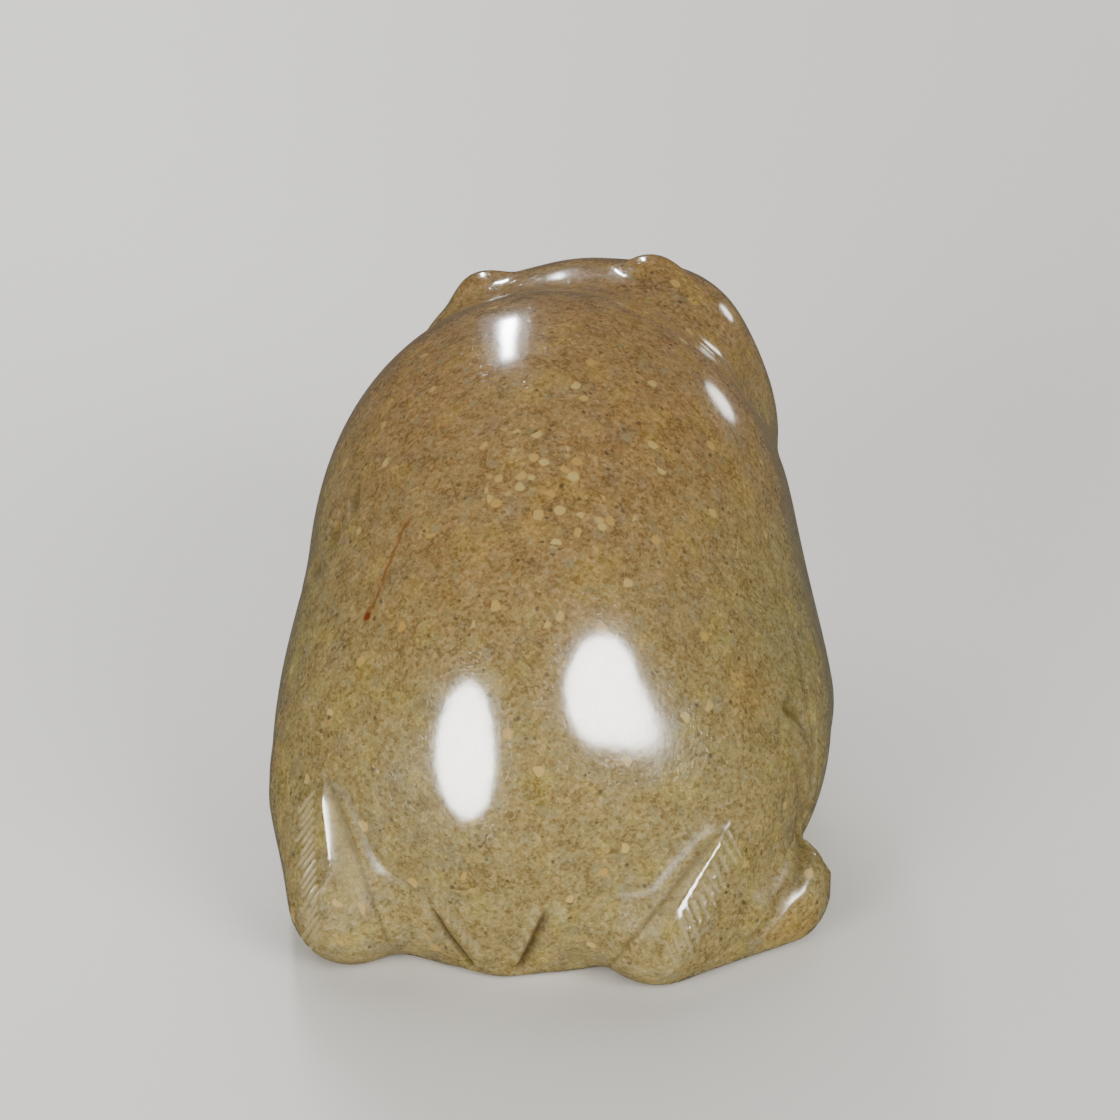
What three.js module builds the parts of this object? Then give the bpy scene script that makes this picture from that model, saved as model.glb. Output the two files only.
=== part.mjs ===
// A plump crouching bear carved from one piece of stone, as one closed solid.
//
// The carving is described as a field: a function that is negative inside the stone, zero on its
// surface and positive outside. Each muscle is an ellipsoid or a tapering limb, and neighbours are
// joined with a soft fillet, the way a carver leaves them. The surface is then traced on a grid.
//
// Millimetres, +Z up. The bear faces -Y, its right side is on -X, and it lies on the plane z = 0.
import * as THREE from 'three';

// Grid steps of the traced surface. The head and paws carry the small forms, so they get more.
const STEP = { across: 2.15, alongBody: 2.4, alongHead: 1.6, up: 2.0 };
const HEAD_BEGINS = -13;         // y at which the finer steps start
const SPACE = { x: [-30.8, 27], y: [-45, 45], z: [-2.9, 50] };
const GROUND_ROUNDING = 0.8;     // how far the underside's rim is rounded off

const RIGHT = -1, LEFT = 1;      // the bear's own sides

const TORSO = {
  rump: { at: [-1.0, 18, 13], radii: [20.6, 22, 22] },
  loins: { at: [-1.7, 8, 20.9], radii: [19.2, 26, 21.7], fillet: 8 },
  chest: { at: [-0.3, -3.6, 23.6], radii: [21, 23.6, 22.2], fillet: 10 },
  seat: { at: [0.2, 18.2, 6.5], radii: [18.4, 18.4, 11.5], fillet: 6 },
  brisket: { at: [0, -9, 8], radii: [17, 19.5, 12.5], fillet: 6 },
};

// The legs aren't quite alike: the right foot is splayed, and the left side is slimmer.
const HIND_LEG = {
  [RIGHT]: {
    haunch: { at: [-13.2, 12.5, 12], radii: [14.2, 21, 15] },
    knee: [-17.5, 25.5, 12], heel: [-13.5, 34.2, 5.3], shank: [6.8, 5.4],
    sole: [-14.1, 34.2, 4.3], toes: [-23.3, 26.2, 4.2], foot: [5.0, 5.3],
  },
  [LEFT]: {
    haunch: { at: [11.6, 18, 12], radii: [9.5, 16, 14.6] },
    knee: [14.9, 25.6, 12.2], heel: [13.1, 34.4, 5.3], shank: [6.2, 5.5],
    sole: [13.5, 34.0, 4.3], toes: [16.6, 18.0, 4.1], foot: [4.3, 4.3],
  },
};
const HAUNCH_FILLET = 7, SHANK_FILLET = 2.4, FOOT_FILLET = 1.5;

const FORE_LEG = {
  [RIGHT]: {
    shoulder: [-11.2, -12.0, 22.4], elbow: [-19.1, 3.6, 10.6], arm: [10.6, 7.7],
    paw: [-8.6, -30.5, 4.3],
  },
  [LEFT]: {
    shoulder: [11, -12, 22], elbow: [15.6, 4, 8.8], arm: [10.3, 6.6],
    paw: [7.6, -30.5, 4.3],
  },
};
const FOREARM = { height: 6.2, radii: [6.2, 5], wrist: [2.5, 5, 4.6] };
const PAW = { radii: [5.9, 7.2, 4.9], toeOut: 14 };
const ARM_FILLET = 3, FOREARM_FILLET = 3.2;

const TAIL = { root: [-0.2, 34.4, 8.5], tip: [-0.3, 34.8, 2.3], radii: [4.8, 2.9], fillet: 2 };

// The head has a frame of its own, turned a little to the bear's right and tipped. Its pieces are
// placed in that frame, with +X to the side, and those off the middle are made on both sides.
const HEAD = { at: [-2.0, -20.5, 28.4], turn: [-8, 0, 12], fillet: 2.2 };
const SKULL = [16.3, 15.3, 14.3];
const TEMPLE = { at: [8.8, 0.5, 4.6], radii: [6.4, 9.5, 6.8], fillet: 5 };
const JOWL = { at: [10.0, 0, -4.8], radii: [6.9, 10.2, 8.2], fillet: 5 };
const MUZZLE = { root: [0, -9, -4], tip: [0, -14.3, -5.6], radii: [8.6, 6.3], fillet: 3.5 };
const BROW = { at: [5.4, -11.4, 5.0], radii: [4.2, 3.4, 2.4], turn: [24, 0, 0], fillet: 2.5 };
const EYE = { at: [6.4, -13.6, 1.6], radii: [1.9, 1.5, 1.8], fillet: 0.5 };
const NOSE = { at: [0, -19.6, -3.2], radii: [2.7, 1.7, 1.9], fillet: 0.8 };
const EAR = { at: [8.2, -1.6, 11.0], radii: [3.3, 2.9, 3.4], turn: [14, 0, 18], fillet: 1.4 };
const EAR_HOLLOW = { at: [8.4, -4.7, 11.5], radii: [2.2, 2.4, 2.4], turn: [14, 0, 18], fillet: 1 };

const STONE = { color: 0x8d7c52, roughness: 0.22, metalness: 0 };

// Field pieces. Each returns a function of a point, a THREE.Vector3 that it leaves as it is.

function rotation([yaw, pitch, roll] = [0, 0, 0]) {
  const rad = THREE.MathUtils.degToRad;
  return new THREE.Quaternion().setFromEuler(new THREE.Euler(rad(pitch), rad(roll), rad(yaw), 'ZXY'));
}

function ball({ at, radii, turn }) {
  const centre = new THREE.Vector3(...at), r = new THREE.Vector3(...radii);
  const back = rotation(turn).invert(), q = new THREE.Vector3();
  return (p) => {
    q.copy(p).sub(centre).applyQuaternion(back).divide(r);
    const k = q.length();
    return k * (k - 1) / Math.max(q.divide(r).length(), 1e-6);
  };
}

// The hull of two spheres, of radius ra at a and rb at b.
function limb(a, b, [ra, rb]) {
  const from = new THREE.Vector3(...a), axis = new THREE.Vector3(...b).sub(from);
  const l2 = axis.lengthSq(), rr = ra - rb, a2 = l2 - rr * rr;
  const q = new THREE.Vector3();
  return (p) => {
    q.copy(p).sub(from);
    const y = q.dot(axis), z = y - l2;
    const x2 = q.multiplyScalar(l2).addScaledVector(axis, -y).lengthSq();
    const y2 = y * y * l2, z2 = z * z * l2, k = Math.sign(rr) * rr * rr * x2;
    if (Math.sign(z) * a2 * z2 > k) return Math.sqrt(x2 + z2) / l2 - rb;
    if (Math.sign(y) * a2 * y2 < k) return Math.sqrt(x2 + y2) / l2 - ra;
    return (Math.sqrt(x2 * a2 / l2) + y * rr) / l2 - ra;
  };
}

// Union and difference with a fillet of about the given radius.
function join(a, b, fillet) {
  const h = Math.max(fillet - Math.abs(a - b), 0) / fillet;
  return Math.min(a, b) - h * h * fillet / 4;
}

function cut(a, b, fillet) {
  return -join(-a, b, fillet);
}

function torso() {
  const rump = ball(TORSO.rump);
  const rest = [TORSO.loins, TORSO.chest, TORSO.seat, TORSO.brisket].map((piece) => [ball(piece), piece.fillet]);
  return (p) => rest.reduce((d, [piece, fillet]) => join(d, piece(p), fillet), rump(p));
}

function hindLeg(side) {
  const leg = HIND_LEG[side];
  const haunch = ball(leg.haunch);
  const shank = limb(leg.knee, leg.heel, leg.shank);
  const foot = limb(leg.sole, leg.toes, leg.foot);
  return (p, d) => join(join(join(d, haunch(p), HAUNCH_FILLET), shank(p), SHANK_FILLET),
    foot(p), FOOT_FILLET);
}

function foreLeg(side) {
  const { shoulder, elbow, arm, paw } = FORE_LEG[side];
  const upper = limb(shoulder, elbow, arm);
  const wrist = [paw[0] + side * FOREARM.wrist[0], paw[1] + FOREARM.wrist[1], FOREARM.wrist[2]];
  const lower = limb([elbow[0], elbow[1], FOREARM.height], wrist, FOREARM.radii);
  const hand = ball({ at: paw, radii: PAW.radii, turn: [side * PAW.toeOut, 0, 0] });
  return (p, d) => join(join(d, upper(p), ARM_FILLET), join(lower(p), hand(p), 2.5), FOREARM_FILLET);
}

function head() {
  const centre = new THREE.Vector3(...HEAD.at), back = rotation(HEAD.turn).invert();
  const skull = ball({ at: [0, 0, 0], radii: SKULL });
  const muzzle = limb(MUZZLE.root, MUZZLE.tip, MUZZLE.radii);
  const [temple, jowl, brow, eye, nose, ear, hollow] = [
    TEMPLE, JOWL, BROW, EYE, NOSE, EAR, EAR_HOLLOW].map(ball);
  const q = new THREE.Vector3(), mirrored = new THREE.Vector3();
  return (p) => {
    q.copy(p).sub(centre).applyQuaternion(back);
    mirrored.set(Math.abs(q.x), q.y, q.z);
    let d = join(skull(q), temple(mirrored), TEMPLE.fillet);
    d = join(d, jowl(mirrored), JOWL.fillet);
    d = join(d, muzzle(q), MUZZLE.fillet);
    d = join(d, brow(mirrored), BROW.fillet);
    d = join(d, eye(mirrored), EYE.fillet);
    d = join(d, nose(q), NOSE.fillet);
    return join(d, cut(ear(mirrored), hollow(mirrored), EAR_HOLLOW.fillet), EAR.fillet);
  };
}

function bear() {
  const body = torso(), face = head();
  const tail = limb(TAIL.root, TAIL.tip, TAIL.radii);
  const legs = [RIGHT, LEFT].flatMap((side) => [hindLeg(side), foreLeg(side)]);
  return (p) => {
    let d = join(body(p), tail(p), TAIL.fillet);
    for (const leg of legs) d = leg(p, d);
    d = join(d, face(p), HEAD.fillet);
    return cut(d, p.z, GROUND_ROUNDING);
  };
}

// Grid lines from one end to the other, with the step that stepAt gives at each place.
function gridLines([from, to], stepAt) {
  const lines = [from];
  while (lines.at(-1) < to) lines.push(lines.at(-1) + stepAt(lines.at(-1)));
  return lines;
}

// Moves a point along the field's slope until it lies on the surface.
function settle(field, p) {
  const h = 0.02, probe = new THREE.Vector3(), slope = new THREE.Vector3();
  for (let round = 0; round < 4; round++) {
    const d = field(p);
    slope.set(...['x', 'y', 'z'].map((axis) => {
      probe.copy(p)[axis] += h;
      return (field(probe) - d) / h;
    }));
    p.addScaledVector(slope, -d / Math.max(slope.lengthSq(), 0.1));
  }
  if (Math.abs(p.z) < 0.05) p.z = 0;
  return p;
}

// Surface nets: one vertex in each cell that the surface passes through, and one quad around each
// grid edge that it crosses.
function trace(field) {
  const xs = gridLines(SPACE.x, () => STEP.across);
  const ys = gridLines(SPACE.y, (y) => (y < HEAD_BEGINS ? STEP.alongHead : STEP.alongBody));
  const zs = gridLines(SPACE.z, () => STEP.up);
  const at = (i, j, k) => (k * ys.length + j) * xs.length + i;
  const value = new Float64Array(xs.length * ys.length * zs.length);
  const p = new THREE.Vector3();
  zs.forEach((z, k) => ys.forEach((y, j) => xs.forEach((x, i) => {
    value[at(i, j, k)] = field(p.set(x, y, z));
  })));

  const corners = [0, 1].flatMap((c) => [0, 1].flatMap((b) => [0, 1].map((a) => [a, b, c])));
  const edges = corners.flatMap((from) => [0, 1, 2].filter((axis) => !from[axis])
    .map((axis) => [from, from.map((v, n) => (n === axis ? 1 : v))]));
  const place = ([a, b, c], i, j, k) => new THREE.Vector3(xs[i + a], ys[j + b], zs[k + c]);
  const vertices = [], cell = new Map();
  for (let k = 0; k < zs.length - 1; k++) {
    for (let j = 0; j < ys.length - 1; j++) {
      for (let i = 0; i < xs.length - 1; i++) {
        const v = ([a, b, c]) => value[at(i + a, j + b, k + c)];
        const crossed = edges.filter(([from, to]) => (v(from) < 0) !== (v(to) < 0));
        if (!crossed.length) continue;
        const mean = new THREE.Vector3();
        for (const [from, to] of crossed) {
          mean.add(place(from, i, j, k).lerp(place(to, i, j, k), v(from) / (v(from) - v(to))));
        }
        cell.set(at(i, j, k), vertices.length);
        vertices.push(settle(field, mean.divideScalar(crossed.length)));
      }
    }
  }

  const faces = [];
  const quad = (a, b, c, d, flip) => {
    const [p0, p1, p2, p3] = (flip ? [d, c, b, a] : [a, b, c, d]).map((key) => cell.get(key));
    const across = vertices[p0].distanceTo(vertices[p2]) < vertices[p1].distanceTo(vertices[p3]);
    faces.push(...(across ? [p0, p1, p2, p0, p2, p3] : [p0, p1, p3, p1, p2, p3]));
  };
  for (let k = 1; k < zs.length - 1; k++) {
    for (let j = 1; j < ys.length - 1; j++) {
      for (let i = 1; i < xs.length - 1; i++) {
        const inside = value[at(i, j, k)] < 0;
        if (inside !== value[at(i + 1, j, k)] < 0) {
          quad(at(i, j - 1, k - 1), at(i, j, k - 1), at(i, j, k), at(i, j - 1, k), !inside);
        }
        if (inside !== value[at(i, j + 1, k)] < 0) {
          quad(at(i - 1, j, k - 1), at(i - 1, j, k), at(i, j, k), at(i, j, k - 1), !inside);
        }
        if (inside !== value[at(i, j, k + 1)] < 0) {
          quad(at(i - 1, j - 1, k), at(i, j - 1, k), at(i, j, k), at(i - 1, j, k), !inside);
        }
      }
    }
  }
  const geometry = new THREE.BufferGeometry().setFromPoints(vertices);
  geometry.setIndex(faces);
  return geometry;
}

// The origin is at the middle of the outline, on the ground.
function centred(geometry) {
  geometry.computeBoundingBox();
  const middle = geometry.boundingBox.getCenter(new THREE.Vector3());
  geometry.translate(-middle.x, -middle.y, 0);
  geometry.computeVertexNormals();
  return geometry;
}

const carving = new THREE.Mesh(centred(trace(bear())), new THREE.MeshStandardMaterial(STONE));
carving.name = 'bear';

const group = new THREE.Group();
group.add(carving);
export default group;
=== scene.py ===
"""A plump crouching bear carved from one piece of speckled, polished stone, seen from behind.

The stone's surface is traced from the same field as the CAD solid, at a finer step, and then takes
the incised lines, the fur strokes and the toes, which are too fine for the solid. Everything about
the carving is in millimetres in the carver's frame: the bear faces -Y, its right side is on -X and
it lies on z = 0. It becomes metres in the row's frame when its mesh is made.
"""
from itertools import product
from math import cos, pi, radians, sin

import bpy
import numpy as np
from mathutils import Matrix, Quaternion, Vector


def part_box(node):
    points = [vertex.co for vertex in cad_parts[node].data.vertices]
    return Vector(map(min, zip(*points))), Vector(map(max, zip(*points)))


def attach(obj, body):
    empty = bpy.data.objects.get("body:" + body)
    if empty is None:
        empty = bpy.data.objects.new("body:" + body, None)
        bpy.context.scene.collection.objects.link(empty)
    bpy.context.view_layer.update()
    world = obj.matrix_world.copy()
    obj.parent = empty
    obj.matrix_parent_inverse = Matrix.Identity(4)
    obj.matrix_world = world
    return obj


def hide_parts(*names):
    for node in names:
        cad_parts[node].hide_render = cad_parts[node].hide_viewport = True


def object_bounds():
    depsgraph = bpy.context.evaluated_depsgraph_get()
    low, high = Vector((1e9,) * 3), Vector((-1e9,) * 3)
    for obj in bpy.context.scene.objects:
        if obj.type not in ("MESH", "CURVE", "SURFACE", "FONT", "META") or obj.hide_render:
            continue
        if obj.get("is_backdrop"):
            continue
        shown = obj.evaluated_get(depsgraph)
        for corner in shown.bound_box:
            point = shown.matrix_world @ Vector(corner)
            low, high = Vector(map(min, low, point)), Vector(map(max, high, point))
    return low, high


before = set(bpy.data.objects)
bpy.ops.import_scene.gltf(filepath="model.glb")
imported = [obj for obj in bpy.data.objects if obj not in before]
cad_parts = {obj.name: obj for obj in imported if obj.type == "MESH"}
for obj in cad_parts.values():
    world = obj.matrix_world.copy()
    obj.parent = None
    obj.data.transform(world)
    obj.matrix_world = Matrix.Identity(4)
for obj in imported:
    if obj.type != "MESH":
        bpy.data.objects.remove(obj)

CAD_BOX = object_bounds()
NODE, SLOT = "bear", "jade"
MM = 0.001
RIGHT, LEFT = -1, 1            # the bear's own sides

# The forms, as in the CAD solid.

TORSO = {
    "rump": dict(at=(-1.0, 18, 13), radii=(20.6, 22, 22)),
    "loins": dict(at=(-1.7, 8, 20.9), radii=(19.2, 26, 21.7), fillet=8),
    "chest": dict(at=(-0.3, -3.6, 23.6), radii=(21, 23.6, 22.2), fillet=10),
    "seat": dict(at=(0.2, 18.2, 6.5), radii=(18.4, 18.4, 11.5), fillet=6),
    "brisket": dict(at=(0, -9, 8), radii=(17, 19.5, 12.5), fillet=6),
}
HIND_LEG = {
    RIGHT: dict(haunch=dict(at=(-13.2, 12.5, 12), radii=(14.2, 21, 15)),
                knee=(-17.5, 25.5, 12), heel=(-13.5, 34.2, 5.3), shank=(6.8, 5.4),
                sole=(-14.1, 34.2, 4.3), toes=(-23.3, 26.2, 4.2), foot=(5.0, 5.3)),
    LEFT: dict(haunch=dict(at=(11.6, 18, 12), radii=(9.5, 16, 14.6)),
               knee=(14.9, 25.6, 12.2), heel=(13.1, 34.4, 5.3), shank=(6.2, 5.5),
               sole=(13.5, 34.0, 4.3), toes=(16.6, 18.0, 4.1), foot=(4.3, 4.3)),
}
HAUNCH_FILLET, SHANK_FILLET, FOOT_FILLET = 7, 2.4, 1.5
FORE_LEG = {
    RIGHT: dict(shoulder=(-11.2, -12, 22.4), elbow=(-19.1, 3.6, 10.6), arm=(10.6, 7.7),
                paw=(-8.6, -30.5, 4.3)),
    LEFT: dict(shoulder=(11, -12, 22), elbow=(15.6, 4, 8.8), arm=(10.3, 6.6),
               paw=(7.6, -30.5, 4.3)),
}
FOREARM = dict(height=6.2, radii=(6.2, 5), wrist=(2.5, 5, 4.6))
PAW = dict(radii=(5.9, 7.2, 4.9), toe_out=14)
ARM_FILLET, FOREARM_FILLET, WRIST_FILLET = 3, 3.2, 2.5
TAIL = dict(root=(-0.2, 34.4, 8.5), tip=(-0.3, 34.8, 2.3), radii=(4.8, 2.9), fillet=2)
HEAD = dict(at=(-2.0, -20.5, 28.4), turn=(-8, 0, 12), fillet=2.2)
SKULL = (16.3, 15.3, 14.3)
TEMPLE = dict(at=(8.8, 0.5, 4.6), radii=(6.4, 9.5, 6.8), fillet=5)
JOWL = dict(at=(10.0, 0, -4.8), radii=(6.9, 10.2, 8.2), fillet=5)
MUZZLE = dict(root=(0, -9, -4), tip=(0, -14.3, -5.6), radii=(8.6, 6.3), fillet=3.5)
BROW = dict(at=(5.4, -11.4, 5.0), radii=(4.2, 3.4, 2.4), turn=(24, 0, 0), fillet=2.5)
EYE = dict(at=(6.4, -13.6, 1.6), radii=(1.9, 1.5, 1.8), fillet=0.5)
NOSE = dict(at=(0, -19.6, -3.2), radii=(2.7, 1.7, 1.9), fillet=0.8)
EAR = dict(at=(8.2, -1.6, 11.0), radii=(3.3, 2.9, 3.4), turn=(14, 0, 18), fillet=1.4)
EAR_HOLLOW = dict(at=(8.4, -4.7, 11.5), radii=(2.2, 2.4, 2.4), turn=(14, 0, 18), fillet=1)
GROUND_ROUNDING = 0.8

# The line of sight of the photograph: from behind, a little to the bear's right, looking down.

SIGHT = dict(azimuth=186.3, elevation=27, distance=433.3, at=(-4.33, 25.75, 35.73))
FRAME_WIDTH = 97.2             # mm across the picture at the point looked at
PIXELS = 1120                  # across the picture

# The fine carving. Strokes behind are laid out as seen along the line of sight, in millimetres
# right of and above the picture's middle, and run from where the chisel went in.

BEHIND_Y = 6                   # no stroke seen from behind reaches forward of this
SHANK = {
    # The long bevel where the shank stands clear of the rump: its top, the end of its crest, the
    # end of its facet's foot, and how far it stands up.
    LEFT: dict(top=(-20.4, -18.4), crest=(-19.1, -32.2), foot=(-14.8, -33.4), rise=0.75),
    RIGHT: dict(top=(14.5, -22.7), crest=(7.6, -34.6), foot=(4.0, -35.6), rise=0.75),
}
FUR = {
    LEFT: dict(first=(-21.0, -20.1), last=(-20.8, -32.3), count=17, stroke=(-1.2, -1.75)),
    RIGHT: dict(first=(14.4, -23.5), last=(9.2, -33.2), count=12, stroke=(0.9, -1.9)),
}
TAIL_LINES = (((-11.2, -30.3), (-9.8, -32.6), (-8.2, -34.6), (-7.2, -36.0)),
              ((-1.2, -30.8), (-2.0, -32.8), (-2.8, -34.4), (-3.6, -36.0)))
TAIL_FUR = (dict(first=(-9.7, -30.2), last=(-7.4, -33.2), count=6, stroke=(0.05, -1.1)),
            dict(first=(-2.2, -30.0), last=(-4.0, -34.2), count=5, stroke=(0.6, -1.15)),
            dict(first=(-0.5, -29.6), last=(-0.1, -30.3), count=2, stroke=(0.2, -1.1)))
UNEVEN = dict(reach=0.16, lean=0.12)   # between a row's strokes: share of their length, and mm
FACET_FRESH = 0.4              # how pale the facets are, beside a fresh cut
# A tool's darkening share paints a groove's depth darker: partly dirt, partly painted shade where
# its own shadow falls.
LINE = dict(width=0.24, depth=0.5, dirt_and_shade=1.0)
WIDE_LINE = dict(width=0.4, depth=0.8, dirt_and_shade=1.0)
SOFT_LINE = dict(width=0.5, depth=0.5, dirt_and_shade=0.6)
FACET_LINE = dict(width=0.22, depth=0.18, dirt_and_shade=0.6)
STROKE = dict(width=0.13, depth=0.2)
RUN_OUT = 0.45                 # the share of a cut's depth that is left at its ends
ABOVE_GROUND = (0.3, 1.2)      # heights where the cuts start and are full


def rotation(turn):
    """Turns about z, then x, then y, in degrees."""
    a, b, c = np.radians(turn)
    about_z = np.array([[cos(a), -sin(a), 0], [sin(a), cos(a), 0], [0, 0, 1]])
    about_x = np.array([[1, 0, 0], [0, cos(b), -sin(b)], [0, sin(b), cos(b)]])
    about_y = np.array([[cos(c), 0, sin(c)], [0, 1, 0], [-sin(c), 0, cos(c)]])
    return about_z @ about_x @ about_y


def length(q):
    return np.sqrt(np.einsum("ij,ij->i", q, q))


def ball(p, at, radii, turn=(0, 0, 0), **_):
    q = (p - at) @ rotation(turn) / radii
    k = length(q)
    return k * (k - 1) / np.maximum(length(q / radii), 1e-6)


def limb(p, a, b, radii):
    """The hull of two spheres, one at a and one at b."""
    ra, rb = radii
    axis = np.subtract(b, a)
    l2, rr = axis @ axis, ra - rb
    a2 = l2 - rr * rr
    q = p - a
    y = q @ axis
    z = y - l2
    x2 = length(q * l2 - y[:, None] * axis) ** 2
    y2, z2, k = y * y * l2, z * z * l2, np.sign(rr) * rr * rr * x2
    return np.where(np.sign(z) * a2 * z2 > k, np.sqrt(x2 + z2) / l2 - rb,
                    np.where(np.sign(y) * a2 * y2 < k, np.sqrt(x2 + y2) / l2 - ra,
                             (np.sqrt(x2 * a2 / l2) + y * rr) / l2 - ra))


def join(a, b, fillet):
    h = np.maximum(fillet - np.abs(a - b), 0) / fillet
    return np.minimum(a, b) - h * h * fillet / 4


def cut(a, b, fillet):
    return -join(-a, b, fillet)


def torso(p):
    d = ball(p, **TORSO["rump"])
    for name in ("loins", "chest", "seat", "brisket"):
        d = join(d, ball(p, **TORSO[name]), TORSO[name]["fillet"])
    return d


def hind_leg(p, d, side):
    leg = HIND_LEG[side]
    d = join(d, ball(p, **leg["haunch"]), HAUNCH_FILLET)
    d = join(d, limb(p, leg["knee"], leg["heel"], leg["shank"]), SHANK_FILLET)
    return join(d, limb(p, leg["sole"], leg["toes"], leg["foot"]), FOOT_FILLET)


def fore_leg(p, d, side):
    leg = FORE_LEG[side]
    elbow, paw, (out, back, height) = leg["elbow"], leg["paw"], FOREARM["wrist"]
    wrist = (paw[0] + side * out, paw[1] + back, height)
    lower = limb(p, (elbow[0], elbow[1], FOREARM["height"]), wrist, FOREARM["radii"])
    hand = ball(p, paw, PAW["radii"], (side * PAW["toe_out"], 0, 0))
    d = join(d, limb(p, leg["shoulder"], elbow, leg["arm"]), ARM_FILLET)
    return join(d, join(lower, hand, WRIST_FILLET), FOREARM_FILLET)


def in_head(p):
    """Points in the head's own frame, and the same with both sides folded onto +X."""
    q = (p - HEAD["at"]) @ rotation(HEAD["turn"])
    folded = q.copy()
    folded[:, 0] = np.abs(folded[:, 0])
    return q, folded


def head(p):
    q, m = in_head(p)
    d = ball(q, (0, 0, 0), SKULL)
    d = join(d, ball(m, **TEMPLE), TEMPLE["fillet"])
    d = join(d, ball(m, **JOWL), JOWL["fillet"])
    d = join(d, limb(q, MUZZLE["root"], MUZZLE["tip"], MUZZLE["radii"]), MUZZLE["fillet"])
    d = join(d, ball(m, **BROW), BROW["fillet"])
    d = join(d, ball(m, **EYE), EYE["fillet"])
    d = join(d, ball(q, **NOSE), NOSE["fillet"])
    return join(d, cut(ball(m, **EAR), ball(m, **EAR_HOLLOW), EAR_HOLLOW["fillet"]), EAR["fillet"])


def bear(p):
    d = join(torso(p), limb(p, TAIL["root"], TAIL["tip"], TAIL["radii"]), TAIL["fillet"])
    for side in (RIGHT, LEFT):
        d = fore_leg(p, hind_leg(p, d, side), side)
    d = join(d, head(p), HEAD["fillet"])
    return cut(d, p[:, 2], GROUND_ROUNDING)


def sight_axes():
    """Right, up and forward of the picture, and where the eye is."""
    a, e = radians(SIGHT["azimuth"]), radians(SIGHT["elevation"])
    back = np.array([sin(a) * cos(e), -cos(a) * cos(e), sin(e)])
    right = np.cross(-back, [0, 0, 1])
    right /= np.linalg.norm(right)
    return right, np.cross(right, -back), -back, SIGHT["at"] + back * SIGHT["distance"]


def as_seen(p):
    """Where points are in the picture, in millimetres at the distance of the point looked at."""
    right, up, forward, eye = sight_axes()
    q = p - eye
    scale = SIGHT["distance"] / (q @ forward)
    return np.stack([q @ right * scale, q @ up * scale], 1)


def to_path(q, *path):
    """Distance of flat points from a path, and how far along it they are, from 0 to 1."""
    distance, along = np.full(len(q), np.inf), np.zeros(len(q))
    for n, (a, b) in enumerate(zip(path, path[1:])):
        axis = np.subtract(b, a)
        t = np.clip((q - a) @ axis / (axis @ axis), 0, 1)
        apart = length(q - a - t[:, None] * axis)
        along = np.where(apart < distance, (n + t) / (len(path) - 1), along)
        distance = np.minimum(apart, distance)
    return distance, along


def smooth(x):
    x = np.clip(x, 0, 1)
    return x * x * (3 - 2 * x)


def between(x, low, high):
    """0 at low and 1 at high, either way round."""
    return smooth((x - low) / (high - low))


def hatch(first, last, count, stroke):
    """Start and end of each of a row of strokes, a little uneven as cut by hand."""
    for n in range(count):
        at = np.add(first, np.subtract(last, first) * n / (count - 1))
        reach = 1 + UNEVEN["reach"] * sin(2.3 * n + 1)
        lean = UNEVEN["lean"] * sin(1.7 * n)
        yield at, at + np.array(stroke) * reach + (lean, 0)


def behind_cuts():
    """Every incised stroke seen from behind: its path and its tool."""
    for row in (*FUR.values(), *TAIL_FUR):
        yield from ((stroke, STROKE) for stroke in hatch(**row))
    yield from zip(TAIL_LINES, (LINE, WIDE_LINE))
    yield from (((shank["top"], shank["foot"]), FACET_LINE) for shank in SHANK.values())


BEVEL = dict(
    # along the crest, in shares of its length
    start=(0, 0.2), end=(1.05, 0.65), heel=(0.6, 0.85), dull_end=(1.4, 1.0), facet=(0.05, 1.2),
    # across it, in mm: the slope outside it, the width of an edge, and the dull zone's reach
    # past the crest and the foot, at the heel and above it
    outside=7, edge=0.45, heel_out=2.5, heel_in=3, dull_in=(1.8, 0.4),
)


def bevel(q, top, crest, foot, rise):
    """How far the shank's edge stands up: it climbs to a crest, and drops to the rump inside it on
    a flat facet. Also how near the crest or the foot of the facet each point is, how much it is on
    the facet, and how much of its polish is gone, from 0 to 1."""
    down = np.subtract(crest, top)
    unit, inwards = down / np.linalg.norm(down), np.subtract(foot, top)
    turn = np.sign(unit[0] * inwards[1] - unit[1] * inwards[0])
    t = (q - top) @ down / (down @ down)
    across = turn * (unit[0] * (q - top)[:, 1] - unit[1] * (q - top)[:, 0])
    drop = turn * (unit[0] * inwards[1] - unit[1] * inwards[0]) * np.clip(t, *BEVEL["facet"])
    ends = between(t, *BEVEL["start"]) * between(t, *BEVEL["end"])
    profile = np.where(across > 0, 1 - across / drop, 1 + across / BEVEL["outside"])
    edges = np.exp(-(np.minimum(np.abs(across), np.abs(across - drop)) / BEVEL["edge"]) ** 2)
    facet = between(across, 0, 0.4) * between(across, drop + 0.2, drop - 0.3) * ends
    heel = between(t, *BEVEL["heel"])
    outer, inner = across + BEVEL["heel_out"] * heel, across - drop - BEVEL["heel_in"] * heel
    dull = between(outer, 0, 0.6) * between(inner, *BEVEL["dull_in"])
    dull *= between(t, *BEVEL["start"]) * between(t, *BEVEL["dull_end"])
    return rise * ends * np.clip(profile, 0, 1), edges * (ends > 0.02), facet, dull


# The face and the feet, which the photograph doesn't show, are plainer. Face lines are laid out on
# a plane across the front of the head, as (out to the side, up), and cut on both sides of it.

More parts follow.
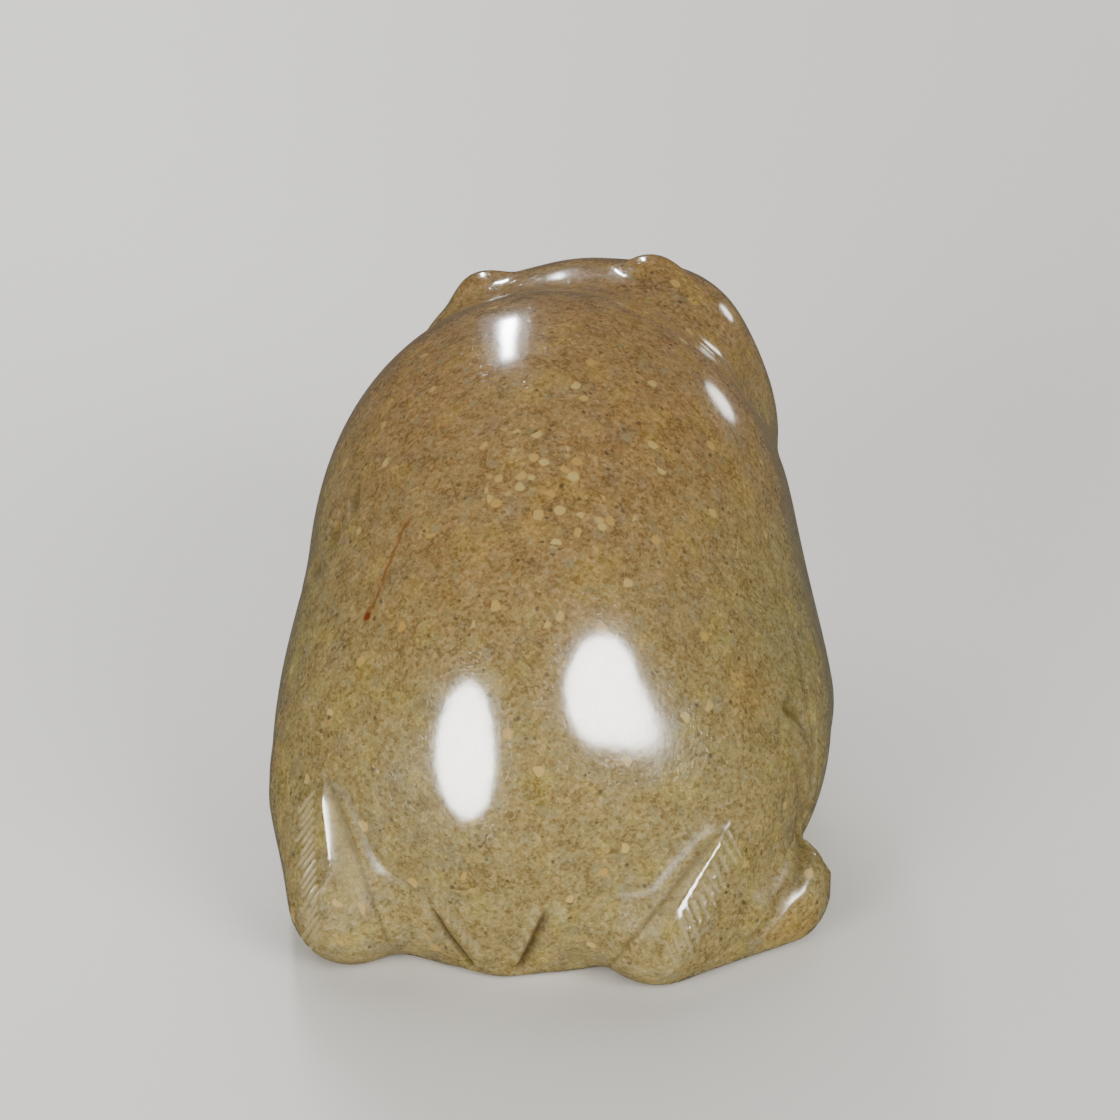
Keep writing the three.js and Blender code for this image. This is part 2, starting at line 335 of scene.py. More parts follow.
FACE_Y = -8                    # no face line reaches behind this in the head's frame
MOUTH = ((0.0, -8.6), (2.4, -9.0), (4.4, -8.1), (5.9, -6.2))
LIP = ((0.0, -5.4), (0.0, -8.6))
NOSE_LINE = ((0.0, -1.2), (1.9, -1.3), (2.8, -2.5), (2.3, -3.9), (1.1, -5.0), (0.0, -5.4))
# The nostrils and the eyelid lines are darkened in their depths with painted shade.
NOSTRIL = dict(at=(1.2, -3.5), tool=dict(width=0.42, depth=0.8, dirt_and_shade=1.0))
EYELID = dict(radii=(2.5, 2.2), tool=dict(width=0.3, depth=0.38, dirt_and_shade=0.8))
BROW_FUR = dict(first=(2.6, 7.6), last=(9.0, 5.8), count=8, stroke=(0.5, 1.5))
CHEEK_FUR = dict(angles=(-72, 8), count=14, inner=11.6, outer=13.6, wide=1.06, high=0.92)

# The lines between the toes start at a share of the foot's reach, run in forward and up from the
# sole, and spread a little more with each mm. The claws of the outer toes reach less far.

# The toe lines are darkened in their depths with painted shade.
TOE_LINES = dict(width=0.42, depth=0.6, dirt_and_shade=0.6)
TOES = dict(start=0.45, run=1.6, sole=-3.2, rise=1.2, margin=1.5, splay=0.75, widening=0.04)
CLAWS = dict(radii=(0.5, 1.3, 1.7), rise=0.34, reach=0.97, shorter=0.07, height=0.6)
FEET = {                       # where its toes spread from, its turn, their spacing, their reach
    "fore right": dict(at=FORE_LEG[RIGHT]["paw"], yaw=RIGHT * PAW["toe_out"], spread=2.8, reach=7.2),
    "fore left": dict(at=FORE_LEG[LEFT]["paw"], yaw=LEFT * PAW["toe_out"], spread=2.8, reach=7.2),
    "hind right": dict(at=HIND_LEG[RIGHT]["toes"], yaw=-42, spread=2.2, reach=5.0),
    "hind left": dict(at=HIND_LEG[LEFT]["toes"], yaw=11, spread=2.0, reach=4.4),
}

# One line on each flank, laid out as seen from the side, as (towards the tail, up). On the right
# side it parts the haunch and the shank from the foot, and on the left the haunch from the belly.

HAUNCH_EDGE = ((13.0, 25.4), (14.4, 23.5), (17.6, 20.3), (19.2, 16.0), (20.5, 12.8), (21.6, 9.8),
               (24.6, 8.9), (27.8, 8.4), (31.4, 6.4), (33.8, 3.4))
HAUNCH_LINE = dict(at=(20, 12), radii=(15, 14.2), angles=(122, 232), runs=(30, 20))
FLANK_X = 9                    # no flank line reaches further in than this


class Cuts:
    """What the chisel does at each of some points."""

    def __init__(self, count):
        self.depth = np.zeros(count)       # mm below the polished form
        self.fresh = np.zeros(count)       # 1 where a cut is left pale and unpolished
        self.dirt_and_shade = np.zeros(count)       # 1 where a groove is darkened: partly dirt, partly painted shade in its depth
        self.dull = np.zeros(count)        # 1 where the polish stops
        self.edge = np.full(count, 9.0)    # the longest mesh edge that still shows the cut, in mm

    def line(self, distance, width, depth, where, dirt_and_shade=0.0, along=0.5, run=1.0):
        """A groove that passes each point at a distance, and runs out at both of its ends."""
        at = np.flatnonzero((distance < 4 * width) & where)
        near, along, run = (np.broadcast_to(x, distance.shape)[at] for x in (distance, along, run))
        middle = np.sqrt(np.clip(4 * along * (1 - along), 0, 1))
        share = run * (RUN_OUT + (1 - RUN_OUT) * middle) * np.exp(-(near / width) ** 2)
        # A darkened groove takes the dark finish, painted shade with some dirt; any other cut is
        # left pale.
        finish = self.dirt_and_shade if dirt_and_shade else self.fresh
        self.depth[at] = np.maximum(self.depth[at], depth * share)
        finish[at] = np.maximum(finish[at], (dirt_and_shade or 1) * share)
        self.dull[at] = np.maximum(self.dull[at], smooth(3 * share))
        at = at[(near < 2.4 * width) & (run > 0.02)]
        self.edge[at] = np.minimum(self.edge[at], EDGE_PER_WIDTH * width)

    def lines(self, q, lines, where):
        for path, tool in lines:
            distance, along = to_path(q, *path)
            self.line(distance, **tool, along=along, where=where)


def face_lines():
    yield from zip((MOUTH, LIP, NOSE_LINE), (WIDE_LINE, WIDE_LINE, LINE))
    yield from ((stroke, STROKE) for stroke in hatch(**BROW_FUR))
    for angle in np.radians(np.linspace(*CHEEK_FUR["angles"], CHEEK_FUR["count"])):
        way = np.array([CHEEK_FUR["wide"] * cos(angle), CHEEK_FUR["high"] * sin(angle)])
        yield (way * CHEEK_FUR["inner"], way * CHEEK_FUR["outer"]), STROKE


def carve_face(p, cuts):
    q, m = in_head(p)
    flat, front = m[:, [0, 2]], q[:, 1] < FACE_Y
    cuts.lines(flat, face_lines(), front)
    cuts.line(length(flat - NOSTRIL["at"]), **NOSTRIL["tool"], where=front)
    eye = (flat - np.array(EYE["at"])[[0, 2]]) / EYELID["radii"]
    lid = np.abs(length(eye) - 1) * min(EYELID["radii"])
    cuts.line(lid, **EYELID["tool"], where=front)


def carve_feet(p, cuts):
    """Three lines part four toes, and each toe ends in a low claw."""
    for foot in FEET.values():
        q = (p - foot["at"]) @ rotation((foot["yaw"], 0, 0))
        up, forward = q[:, 2] - TOES["sole"], -q[:, 1]
        here = (length(q[:, :2]) < foot["reach"] + TOES["margin"]) & (up > 0)
        run = smooth((forward - foot["reach"] * TOES["start"]) / TOES["run"])
        run *= smooth(up / TOES["rise"])
        spread = foot["spread"] * (TOES["splay"] + TOES["widening"] * forward)
        for n in (-1, 0, 1):
            distance = np.abs(q[:, 0] - n * spread)
            cuts.line(distance, **TOE_LINES, where=here & (run > 0), run=run)
        for n in (-1.5, -0.5, 0.5, 1.5):
            reach = foot["reach"] * (CLAWS["reach"] - CLAWS["shorter"] * abs(n))
            middle = np.array([n * foot["spread"], -reach, CLAWS["height"]])
            claw = length((q - middle) / CLAWS["radii"])
            at = here & (claw < 2)
            cuts.depth[at] -= CLAWS["rise"] * np.exp(-claw[at] ** 2)
            cuts.edge[at] = np.minimum(cuts.edge[at], EDGE_PER_WIDTH * CLAWS["radii"][0])


def carve_flanks(p, cuts):
    flat, flank = p[:, [1, 2]], p[:, 0] > FLANK_X
    cuts.lines(flat, [(HAUNCH_EDGE, SOFT_LINE)], p[:, 0] < -FLANK_X)
    arm = (flat - HAUNCH_LINE["at"]) / HAUNCH_LINE["radii"]
    angle = np.degrees(np.arctan2(arm[:, 1], arm[:, 0])) % 360
    (low, high), (first, last) = HAUNCH_LINE["angles"], HAUNCH_LINE["runs"]
    run = between(angle, low, low + first) * between(angle, high, high - last)
    distance = np.abs(length(arm) - 1) * min(HAUNCH_LINE["radii"])
    cuts.line(distance, **WIDE_LINE, where=flank & (run > 0), run=run)


def carve_behind(p, cuts):
    q, behind = as_seen(p), p[:, 1] > BEHIND_Y
    cuts.lines(q, behind_cuts(), behind)
    for shank in SHANK.values():
        rise, edges, facet, dull = bevel(q, **shank)
        cuts.depth -= rise * behind
        np.maximum(cuts.fresh, FACET_FRESH * facet * behind, out=cuts.fresh)
        np.maximum(cuts.dull, dull * behind, out=cuts.dull)
        cuts.edge[behind & (edges > 0.2)] = SHANK_EDGE


def chisel(p):
    cuts = Cuts(len(p))
    for carve in (carve_behind, carve_face, carve_feet, carve_flanks):
        carve(p, cuts)
    above = between(p[:, 2], *ABOVE_GROUND)
    for one in (cuts.depth, cuts.fresh, cuts.dirt_and_shade, cuts.dull):
        one *= above
    return cuts


# Tracing the surface.

BASE_STEP = 0.68               # mm between grid lines
BLOCK = 4                      # grid lines in a block that is tried first
BAND = 3.4                     # the field is worked out this near the surface, in mm
EDGE_PER_WIDTH = 1.35          # the longest mesh edge at a groove, for its width
SHANK_EDGE = 0.34              # the longest mesh edge along the shanks' edges, in mm
ROUNDS = 3                     # of halving the mesh edges that are too long
ON_GROUND = 0.02               # a point lower than this, in mm, is put on the ground
ROOM = ((-30, -43.5, -2.5), (25.5, 43, 48.5))


def grid(low, shape, step):
    axes = [low[n] + step * np.arange(shape[n]) for n in range(3)]
    return np.stack(np.meshgrid(*axes, indexing="ij"), -1).reshape(-1, 3)


def sample(field):
    """The field on a fine grid. Blocks of it that the surface doesn't come near keep the value at
    their middle."""
    low, high = np.array(ROOM, float)
    block = BLOCK * BASE_STEP
    size = np.ceil((high - low) / block).astype(int)
    values = field(grid(low + (block - BASE_STEP) / 2, size, block)).reshape(size)
    for axis in range(3):
        values = np.repeat(values, BLOCK, axis)
    near = np.flatnonzero(np.abs(values) < BAND)
    values.flat[near] = field(grid(low, size * BLOCK, BASE_STEP)[near])
    return values, low


def trace(values, low, step):
    """Surface nets: one point in each cell that the surface crosses, and a quad round each crossed
    grid edge, as two triangles."""
    inside = values < 0
    corners = list(product((0, 1), repeat=3))
    inner = tuple(n - 1 for n in values.shape)
    count = sum(inside[a:a + inner[0], b:b + inner[1], c:c + inner[2]].astype(np.int8)
                for a, b, c in corners)
    crossed = (count > 0) & (count < 8)
    cells = np.argwhere(crossed)
    number = np.full(inner, -1)
    number[crossed] = np.arange(len(cells))
    total, hits = np.zeros((len(cells), 3)), np.zeros(len(cells))
    for corner in corners:
        for axis in range(3):
            if corner[axis]:
                continue
            near, far = cells + corner, cells + corner
            far[:, axis] += 1
            a, b = values[tuple(near.T)], values[tuple(far.T)]
            cross = (a < 0) != (b < 0)
            at = near[cross].astype(float)
            at[:, axis] += a[cross] / (a[cross] - b[cross])
            total[cross] += at
            hits[cross] += 1
    points = low + step * total / hits[:, None]

    faces = []
    for axis in range(3):
        u, v = np.eye(3, dtype=int)[[(axis + 1) % 3, (axis + 2) % 3]]
        along = np.eye(3, dtype=int)[axis]
        a, b = inside[tuple(cells.T)], inside[tuple((cells + along).T)]
        start, a = cells[a != b], a[a != b]
        ring = np.stack([number[tuple((start - du * u - dv * v).T)]
                         for du, dv in ((0, 0), (1, 0), (1, 1), (0, 1))], 1)
        ring[~a] = ring[~a][:, ::-1]
        faces.append(ring)
    return points, in_triangles(points, np.concatenate(faces))


def in_triangles(points, quads):
    """Each quad cut across its shorter diagonal."""
    corner = points[quads]
    short = length(corner[:, 0] - corner[:, 2]) < length(corner[:, 1] - corner[:, 3])
    a, b = quads[short], quads[~short]
    return np.concatenate([a[:, [0, 1, 2]], a[:, [0, 2, 3]], b[:, [0, 1, 3]], b[:, [1, 2, 3]]])


def settle(points, rounds=3, h=0.01):
    """Moves points along the form's slope until they lie on it, and returns the slopes there too."""
    for _ in range(rounds):
        d = bear(points)
        slope = np.stack([(bear(points + step) - d) / h for step in np.eye(3) * h], 1)
        points = points - slope * (d / np.maximum((slope ** 2).sum(1), 0.1))[:, None]
    points[np.abs(points[:, 2]) < ON_GROUND, 2] = 0
    return points, slope / length(slope)[:, None]


def refine(points, faces, longest):
    """Halves each edge that is longer than longest(its middle), and splits the triangles to suit."""
    edges = np.sort(np.concatenate([faces[:, [0, 1]], faces[:, [1, 2]], faces[:, [2, 0]]]), 1)
    key, which = np.unique(edges @ (len(points), 1), return_inverse=True)
    unique = np.stack(np.divmod(key, len(points)), 1)
    middle = points[unique].mean(1)
    halve = length(points[unique[:, 0]] - points[unique[:, 1]]) > longest(middle)
    number = np.full(len(unique), -1)
    number[halve] = len(points) + np.arange(halve.sum())
    mid = number[which.reshape(3, -1).T]
    split = (mid >= 0).sum(1)
    out = [faces[split == 0]]
    for n, first in ((1, lambda m: (m >= 0).argmax(1)), (2, lambda m: (m < 0).argmax(1) + 1),
                     (3, lambda m: np.zeros(len(m), int))):
        f, m = faces[split == n], mid[split == n]
        order = (first(m)[:, None] + np.arange(3)) % 3
        (a, b, c), (ab, bc, ca) = (np.take_along_axis(x, order, 1).T for x in (f, m))
        new = {1: ((a, ab, c), (ab, b, c)),
               2: ((ab, b, bc), (a, ab, bc), (a, bc, c)),
               3: ((a, ab, ca), (ab, b, bc), (ca, bc, c), (ab, bc, ca))}[n]
        out += [np.stack(triangle, 1) for triangle in new]
    return np.concatenate([points, middle[halve]]), np.concatenate(out)


def carving():
    """The whole surface in the carver's frame with its fine lines, its triangles, what the chisel
    did, and the middle of the form's box before it."""
    points, faces = trace(*sample(bear), BASE_STEP)
    points, _ = settle(points)
    for _ in range(ROUNDS):
        points, faces = refine(points, faces, lambda p: chisel(p).edge)
    points, slope = settle(points)
    cuts, middle = chisel(points), (points.min(0) + points.max(0)) / 2
    return points - slope * cuts.depth[:, None], faces, cuts, middle


# The stone. Sizes are in millimetres, colours are sRGB from 0 to 255.

LIGHTNESS = 0.6                # the stone's own lightness beside its look in strong light
MIDDLING = (150, 130, 88)      # the speckle's mean, which a tint is set against
GRAIN = dict(size=0.38, fine=0.2, drift=2.2, shares=(0.27, 0.27, 0.46),
             shades=((0.24, (118, 104, 62)), (0.38, (139, 125, 77)), (0.47, (151, 137, 89)),
                     (0.54, (158, 145, 96)), (0.64, (168, 155, 105)), (0.78, (186, 171, 121))))
BROWN_GRAINS = dict(size=0.3, tint=(162, 124, 74), cover=0.5)
MOTTLES = (                    # size, the noise where it starts and is full, colour, cover
    dict(size=3.4, start=0.52, full=0.64, tint=(163, 144, 80), cover=0.5),
    dict(size=2.3, start=0.47, full=0.36, tint=(138, 124, 96), cover=0.55),
    dict(size=24, start=0.5, full=0.68, tint=(155, 129, 82), cover=0.35),
    dict(size=26, start=0.5, full=0.32, tint=(147, 135, 88), cover=0.3),
)
TOP = dict(low=22, high=44, tint=(158, 121, 80), cover=0.85)
FLECKS = dict(size=0.92, colours=((206, 164, 84), (222, 196, 122)), share=0.014, cluster=0.2,
              reach=(10, 2), radius=0.72, cover=0.85)
PEBBLES = dict(size=0.8, colour=(154, 149, 112), share=0.06, radius=0.7, cover=0.4)
SPECKS = dict(size=0.4, colour=(78, 66, 48), share=0.012, radius=0.7, cover=0.7)
VEIN = dict(colour=(138, 88, 38), cover=0.75, width=0.36, spot=0.6, end=(128, 58, 18),
            wander=dict(size=2.5, by=1.6), gaps=dict(size=1.2, start=0.2, full=0.45), depth=(-4, -3))
STAIN = dict(colour=(168, 126, 62), reach=(4.0, 4.5), middle=0.3, patch=2.2, cover=0.4)
FRESH = dict(colour=(196, 180, 132), cover=0.8)
# The dark in the grooves' depths: partly dirt, partly painted shade.
DIRT_AND_SHADE = dict(colour=(78, 60, 34), cover=0.85)
GLOSS = dict(polished=0.12, uneven=0.06, smear=0.5, cut=0.6, level=0.5, lost=0.48, ior=1.62,
             wax=0.03, wax_roughness=0.34)
BUMP = dict(size=1.1, shares=(0.7, 0.3), strength=0.18, height=0.06)
DEPTH_OF_LIGHT = dict(weight=0.12, scale=1.6, radius=(1.0, 0.62, 0.26))


def linear(colour, lightness=1.0):
    c = np.array(colour) / 255
    return (*np.where(c < 0.04045, c / 12.92, ((c + 0.055) / 1.055) ** 2.4) * lightness, 1.0)


def stone(colour):
    return linear(colour, LIGHTNESS)


class Tree:
    """Short ways to add and link shader nodes."""

    def __init__(self, material):
        material.use_nodes = True
        self.nodes, self.links = material.node_tree.nodes, material.node_tree.links
        self.shader = self.nodes["Principled BSDF"]
        self.place = self.add("ShaderNodeTexCoord").outputs["Object"]

    def add(self, kind, inputs=(), **settings):
        node = self.nodes.new(kind)
        for name, value in settings.items():
            setattr(node, name, value)
        for name, value in dict(inputs).items():
            self.give(node.inputs[name], value)
        return node

    def give(self, socket, value):
        if isinstance(value, bpy.types.NodeSocket):
            self.links.new(value, socket)
        else:
            socket.default_value = value

    def math(self, operation, *values, clamp=False):
        node = self.add("ShaderNodeMath", operation=operation, use_clamp=clamp)
        for n, value in enumerate(values):
            self.give(node.inputs[n], value)
        return node.outputs[0]

    def dot(self, direction, origin=(0, 0, 0)):
        """How far along a direction a place is from an origin, in metres."""
        apart = self.add("ShaderNodeVectorMath", {0: self.place, 1: tuple(origin)},
                         operation="SUBTRACT").outputs["Vector"]
        return self.add("ShaderNodeVectorMath", {0: apart, 1: tuple(direction)},
                        operation="DOT_PRODUCT").outputs["Value"]

    def distance(self, centre):
        return self.add("ShaderNodeVectorMath", {0: self.place, 1: tuple(centre)},
                        operation="DISTANCE").outputs["Value"]

    def ramp(self, value, low, high):
        """0 at low and 1 at high, either way round."""
        node = self.add("ShaderNodeMapRange", {"Value": value, "From Min": low, "From Max": high},
                        interpolation_type="SMOOTHSTEP")
        if low > high:
            for name, edge in (("From Min", high), ("From Max", low), ("To Min", 1), ("To Max", 0)):
                node.inputs[name].default_value = edge
        return node.outputs["Result"]

    def noise(self, size, **inputs):
        inputs = {"Vector": self.place, "Scale": 1 / (size * MM), **inputs}
        return self.add("ShaderNodeTexNoise", inputs).outputs["Fac"]

    def cells(self, size):
        """Three random numbers for each grain of that size, and how far its middle is."""
        node = self.add("ShaderNodeTexVoronoi", {"Vector": self.place, "Scale": 1 / (size * MM)})
        split = self.add("ShaderNodeSeparateColor", {"Color": node.outputs["Color"]})
        return [*split.outputs, node.outputs["Distance"]]

    def mix(self, factor, a, b, blend="MIX"):
        node = self.add("ShaderNodeMix", data_type="RGBA", blend_type=blend)
        for name, value in (("Factor_Float", factor), ("A_Color", a), ("B_Color", b)):
            self.give(next(s for s in node.inputs if s.identifier == name), value)
        return next(s for s in node.outputs if s.identifier == "Result_Color")


def grains(tree):
    """The speckle that the whole stone is made of."""
    shade = 0.0
    for value, share in zip((tree.cells(GRAIN["size"])[0], tree.cells(GRAIN["fine"])[0],
                             tree.noise(GRAIN["drift"], Detail=4.0)), GRAIN["shares"]):
        shade = tree.math("ADD", shade, tree.math("MULTIPLY", value, share))
    ramp = tree.add("ShaderNodeValToRGB", {"Fac": shade})
    stops = ramp.color_ramp.elements
    while len(stops) < len(GRAIN["shades"]):
        stops.new(0.5)
    for stop, (at, colour) in zip(stops, GRAIN["shades"]):
        stop.position, stop.color = at, stone(colour)
    return ramp.outputs["Color"]


def jade(marks):
    """Speckled olive-brown stone, polished but for its carved lines."""
    material = bpy.data.materials.new("speckled jade")
    tree = Tree(material)
    colour = grains(tree)

    def tint(colour, factor, target):
        """Shifts the speckle towards a colour, and keeps its contrast."""
        shift = tuple(t / m for t, m in zip(linear(target), linear(MIDDLING)))
        return tree.mix(factor, colour, shift, "MULTIPLY")

    brown = tree.math("MULTIPLY", tree.cells(BROWN_GRAINS["size"])[1], BROWN_GRAINS["cover"])
    colour = tint(colour, brown, BROWN_GRAINS["tint"])
    for patch in MOTTLES:
        cover = tree.ramp(tree.noise(patch["size"], Detail=3.0), patch["start"], patch["full"])
        colour = tint(colour, tree.math("MULTIPLY", cover, patch["cover"]), patch["tint"])
    top = tree.ramp(tree.dot((0, 0, 1)), TOP["low"] * MM, TOP["high"] * MM)
    colour = tint(colour, tree.math("MULTIPLY", top, TOP["cover"]), TOP["tint"])

    def spots(kind, chance, cells):
        """Round, soft-edged grains in the cells whose chance is high enough."""
        chosen = tree.ramp(chance, 1 - kind["share"], 1.002 - kind["share"])
        round_ = tree.ramp(cells[3], kind["radius"], 0.6 * kind["radius"])
        return tree.math("MULTIPLY", tree.math("MULTIPLY", chosen, round_), kind["cover"])

    pebble, fleck, speck = (tree.cells(one["size"]) for one in (PEBBLES, FLECKS, SPECKS))
    colour = tree.mix(spots(PEBBLES, pebble[1], pebble), colour, stone(PEBBLES["colour"]))
    near = tree.ramp(tree.distance(marks["flecks"]), *(x * MM for x in FLECKS["reach"]))
    chance = tree.math("ADD", fleck[0], tree.math("MULTIPLY", near, FLECKS["cluster"]))
    colour = tree.mix(spots(FLECKS, chance, fleck), colour,
                      tree.mix(fleck[1], *map(stone, FLECKS["colours"])))
    colour = tree.mix(spots(SPECKS, speck[2], speck), colour, stone(SPECKS["colour"]))

    colour = vein(tree, colour, *marks["vein"])
    for place, reach in zip(marks["stains"], STAIN["reach"]):
        near = tree.ramp(tree.distance(place), reach * MM, STAIN["middle"] * MM)
        patch = tree.math("MULTIPLY", near, tree.noise(STAIN["patch"], Detail=3.0))
        patch = tree.math("MULTIPLY", patch, 2 * STAIN["cover"], clamp=True)
        colour = tint(colour, patch, STAIN["colour"])

    fresh, dirt_and_shade, dull = (tree.add("ShaderNodeAttribute", attribute_name=name).outputs["Fac"]
                          for name in ("fresh", "dirt_and_shade", "dull"))
    # Fresh cuts are paler; dark grooves take painted shade with some dirt.
    for finish, look in ((fresh, FRESH), (dirt_and_shade, DIRT_AND_SHADE)):
        colour = tree.mix(tree.math("MULTIPLY", finish, look["cover"]), colour,
                          stone(look["colour"]))
    tree.give(tree.shader.inputs["Base Color"], colour)

    smear = tree.noise(GLOSS["smear"], Detail=4.0, Roughness=0.7)
    rough = tree.math("ADD", tree.math("MULTIPLY", smear, GLOSS["uneven"]),
                      GLOSS["polished"] - GLOSS["uneven"] / 2)
    rough = tree.math("ADD", rough,
                      tree.math("MULTIPLY", dull, GLOSS["cut"] - GLOSS["polished"]))
    tree.give(tree.shader.inputs["Roughness"], rough)
    level = tree.math("SUBTRACT", GLOSS["level"], tree.math("MULTIPLY", dull, GLOSS["lost"]))
    tree.give(tree.shader.inputs["Specular IOR Level"], level)
    waves = tree.noise(BUMP["size"], Detail=5.0, Roughness=0.62), tree.cells(GRAIN["size"])[1]
    wave = tree.math("ADD", *(tree.math("MULTIPLY", *both) for both in zip(waves, BUMP["shares"])))
    bump = tree.add("ShaderNodeBump", {"Height": wave, "Strength": BUMP["strength"],
                                       "Distance": BUMP["height"] * MM})
    tree.give(tree.shader.inputs["Normal"], bump.outputs["Normal"])
    for name, value in (("IOR", GLOSS["ior"]), ("Coat Weight", GLOSS["wax"]),
                        ("Coat Roughness", GLOSS["wax_roughness"]),
                        ("Subsurface Weight", DEPTH_OF_LIGHT["weight"]),
                        ("Subsurface Scale", DEPTH_OF_LIGHT["scale"] * MM),
                        ("Subsurface Radius", DEPTH_OF_LIGHT["radius"])):
        tree.give(tree.shader.inputs[name], value)
    return material


def vein(tree, colour, start, end, outward):
    """A thin rusty vein that ends in a darker spot. It stays on the side that outward faces."""
    run = np.subtract(end, start)
    reach = np.linalg.norm(run)
    along = run / reach
    across = np.cross(along, outward)
    wander, gaps = VEIN["wander"], VEIN["gaps"]
    bend = tree.math("SUBTRACT", tree.noise(wander["size"], Detail=3.0), 0.5)
    off = tree.math("ADD", tree.dot(across, start), tree.math("MULTIPLY", bend, wander["by"] * MM))
    t, depth = tree.dot(along / reach, start), tree.dot(outward, start)
    line = tree.ramp(tree.math("ABSOLUTE", off), VEIN["width"] * MM, 0.05 * MM)
    for mask in (tree.ramp(t, -0.02, 0.12), tree.ramp(t, 1.0, 0.97),
                 tree.ramp(depth, *(x * MM for x in VEIN["depth"])),
                 tree.ramp(tree.noise(gaps["size"], Detail=2.0), gaps["start"], gaps["full"])):
        line = tree.math("MULTIPLY", line, mask)
    spot = tree.ramp(tree.distance(end), VEIN["spot"] * MM, 0.4 * VEIN["spot"] * MM)
    colour = tree.mix(tree.math("MULTIPLY", line, VEIN["cover"]), colour, stone(VEIN["colour"]))
    return tree.mix(spot, colour, stone(VEIN["end"]))


# Placing it all. The row's frame is the carver's, moved in x and y. The stone's single marks are
# given by where they show, in pixels from the picture's top left corner.

MARKS = dict(flecks=(560, 490), vein=((413, 515), (368, 617)), stains=((748, 690), (800, 925)))
INSIDE = (0, 14, 16)           # a place in the middle of the bear's hind half


def seen_at(points, behind, px, py):
    """The surface point behind the bear that shows at a pixel of the picture."""
    q = np.array([px - PIXELS / 2, PIXELS / 2 - py]) * FRAME_WIDTH / PIXELS
    apart = length(as_seen(points) - q) + np.where(behind, 0, 1e3)
    return points[apart.argmin()]


def stone_mesh(points, faces, cuts):
    mesh = bpy.data.meshes.new("carved bear")
    mesh.vertices.add(len(points))
    mesh.vertices.foreach_set("co", points.ravel().astype(np.float32))
    mesh.loops.add(faces.size)
    mesh.loops.foreach_set("vertex_index", faces.ravel().astype(np.int32))
    mesh.polygons.add(len(faces))
    mesh.polygons.foreach_set("loop_start", np.arange(0, faces.size, 3, dtype=np.int32))
    mesh.update(calc_edges=True)
    mesh.validate()
    mesh.shade_smooth()
    for name in ("fresh", "dirt_and_shade", "dull"):
        attribute = mesh.attributes.new(name, "FLOAT", "POINT")
        attribute.data.foreach_set("value", getattr(cuts, name).astype(np.float32))
    return mesh


points, faces, cuts, middle = carving()
low, high = np.array(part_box(NODE))
shift = ((low + high) / 2 / MM - middle) * (1, 1, 0)


def in_row(p):
    """From the carver's frame to the row's, in metres."""
    return (np.asarray(p) + shift) * MM


behind = (points[:, 1] > 0) & ((points - INSIDE) @ -sight_axes()[2] > 0)
start, end = (seen_at(points, behind, *at) for at in MARKS["vein"])
out, run = (start + end) / 2 - INSIDE, end - start
out -= (out @ run) * run / (run @ run)
marks = {
    "flecks": in_row(seen_at(points, behind, *MARKS["flecks"])),
    "vein": (in_row(start), in_row(end), out / np.linalg.norm(out)),
    "stains": [in_row(seen_at(points, behind, *at)) for at in MARKS["stains"]],
}
inside = np.clip(in_row(points), low, high)
carved = bpy.data.objects.new("carved_bear", stone_mesh(inside, faces, cuts))
bpy.context.collection.objects.link(carved)
carved.data.materials.append(jade(marks))
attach(carved, "root")
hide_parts(NODE)


# The studio, in metres: a pale floor, two softboxes behind the bear, and in front of it small lights
# and broad fills. A lamp that shows in the polish is a pair, one that lights the stone's body and a
# brighter one, a little nearer, that only the polish mirrors.

FLOOR = dict(size=3.0, colour=(214, 212, 208), roughness=0.55)
LIGHTS = {
    # azimuth, elevation, width, height and lean in degrees as seen from the bear, shape, brightness
    # on the stone's body, brightness in its polish, colour
    "left softbox": (152, 10, 30, 50, -14, "ELLIPSE", 10, 62, (1.0, 0.985, 0.95)),
    "right softbox": (-133, 28, 39, 37, 14, "ELLIPSE", 9, 62, (1.0, 0.985, 0.95)),
    "front strip": (19.5, 32, 2.6, 22, 17, "RECTANGLE", 16, 130, (0.94, 0.97, 1.0)),
    "low front": (-28, 6, 7, 8, 0, "ELLIPSE", 8, 11, (1.0, 0.97, 0.92)),
    "front fill": (8, 16, 60, 30, 0, "RECTANGLE", 2.0, 0, (1.0, 0.985, 0.96)),
    "fill": (20, 50, 100, 70, 0, "RECTANGLE", 2.2, 0, (1.0, 0.985, 0.96)),
}
LIGHT_DISTANCE, GLEAM_NEARER = 0.7, 0.02
LIT = Vector((0, 0, 0.02))     # what the lamps face
SKY = dict(colour=(235, 236, 240), strength=0.1)


def toward(azimuth, elevation):
    a, e = radians(azimuth), radians(elevation)
    return Vector((sin(a) * cos(e), -cos(a) * cos(e), sin(e)))


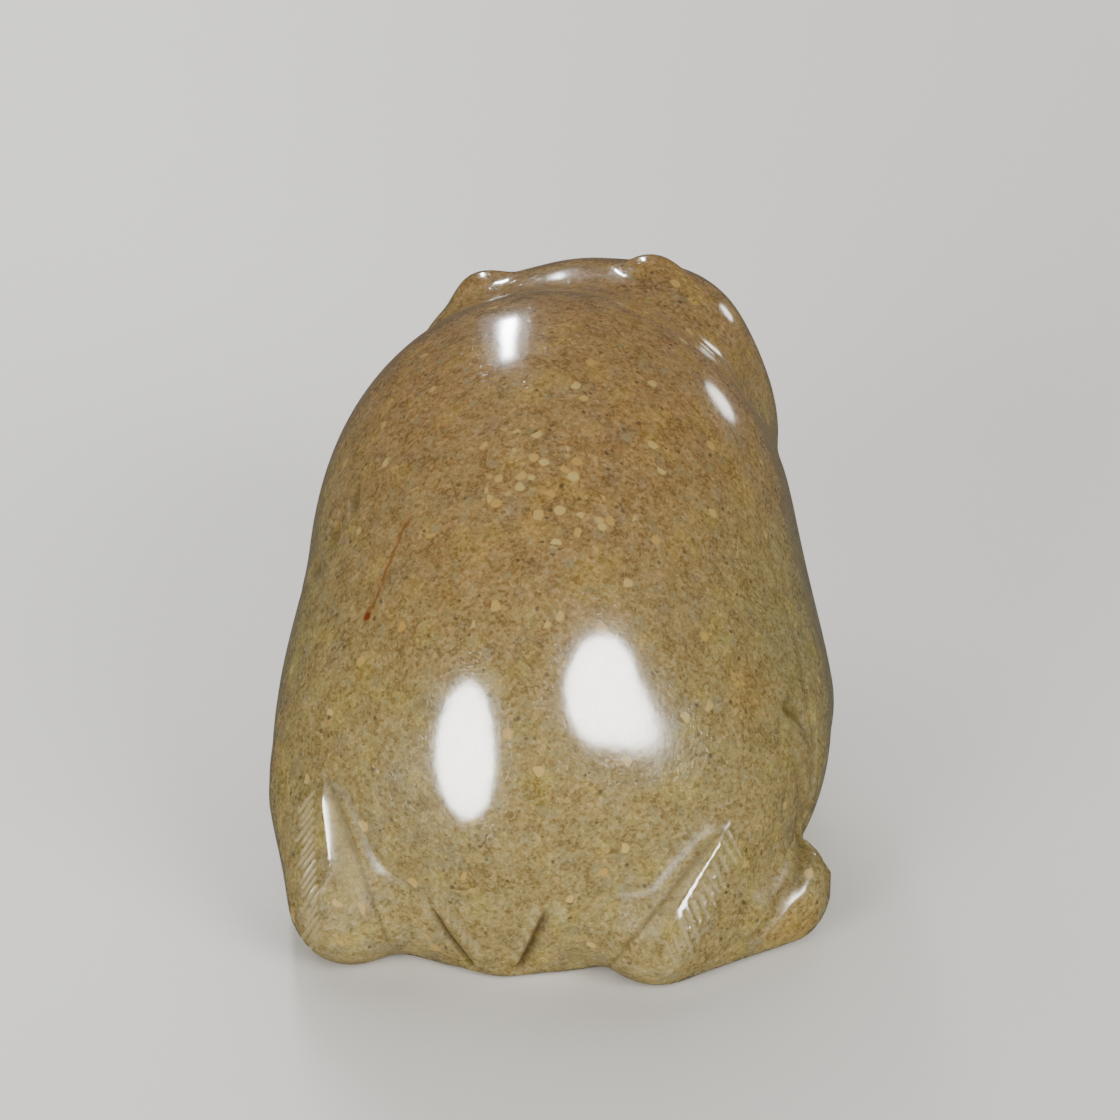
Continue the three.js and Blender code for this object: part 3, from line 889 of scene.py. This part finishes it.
def light(name, azimuth, elevation, width, height, lean, shape, brightness, colour, nearer=0.0):
    away = LIGHT_DISTANCE - nearer
    lamp = bpy.data.lights.new(name, "AREA")
    lamp.shape = shape
    lamp.size, lamp.size_y = (2 * away * sin(radians(x) / 2) for x in (width, height))
    area = lamp.size * lamp.size_y * (pi / 4 if shape == "ELLIPSE" else 1)
    lamp.energy = brightness * pi * area
    lamp.color = colour
    obj = bpy.data.objects.new(name, lamp)
    obj.location = LIT + toward(azimuth, elevation) * away
    upright = (obj.location - LIT).to_track_quat("Z", "Y")
    obj.rotation_euler = (upright @ Quaternion((0, 0, 1), radians(-lean))).to_euler()
    obj.visible_camera = False
    bpy.context.collection.objects.link(obj)
    return obj


def floor():
    half = FLOOR["size"] / 2
    mesh = bpy.data.meshes.new("floor")
    mesh.from_pydata([(-half, -half, 0), (half, -half, 0), (half, half, 0), (-half, half, 0)], [],
                     [(0, 1, 2, 3)])
    material = bpy.data.materials.new("pale floor")
    tree = Tree(material)
    tree.give(tree.shader.inputs["Base Color"], linear(FLOOR["colour"]))
    tree.give(tree.shader.inputs["Roughness"], FLOOR["roughness"])
    mesh.materials.append(material)
    obj = bpy.data.objects.new("floor", mesh)
    obj.visible_glossy = False
    bpy.context.collection.objects.link(obj)
    obj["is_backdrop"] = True


def camera():
    _, _, forward, eye = sight_axes()
    data = bpy.data.cameras.new("camera")
    data.lens = data.sensor_width * SIGHT["distance"] / FRAME_WIDTH
    obj = bpy.data.objects.new("camera", data)
    obj.location = in_row(eye)
    obj.rotation_euler = Vector(-forward).to_track_quat("Z", "Y").to_euler()
    bpy.context.collection.objects.link(obj)
    bpy.context.scene.camera = obj


floor()
for name, (*aim, body, polish, hue) in LIGHTS.items():
    light(name, *aim, body, hue).visible_glossy = False
    if polish:
        light(name + " gleam", *aim, polish, hue, nearer=GLEAM_NEARER).visible_diffuse = False
world = bpy.data.worlds.new("studio")
world.use_nodes = True
sky = world.node_tree.nodes["Background"].inputs
sky["Color"].default_value, sky["Strength"].default_value = linear(SKY["colour"]), SKY["strength"]
bpy.context.scene.world = world
camera()

({name: [list(corner) for corner in box]
           for name, box in (("cad", CAD_BOX), ("visual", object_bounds()))})
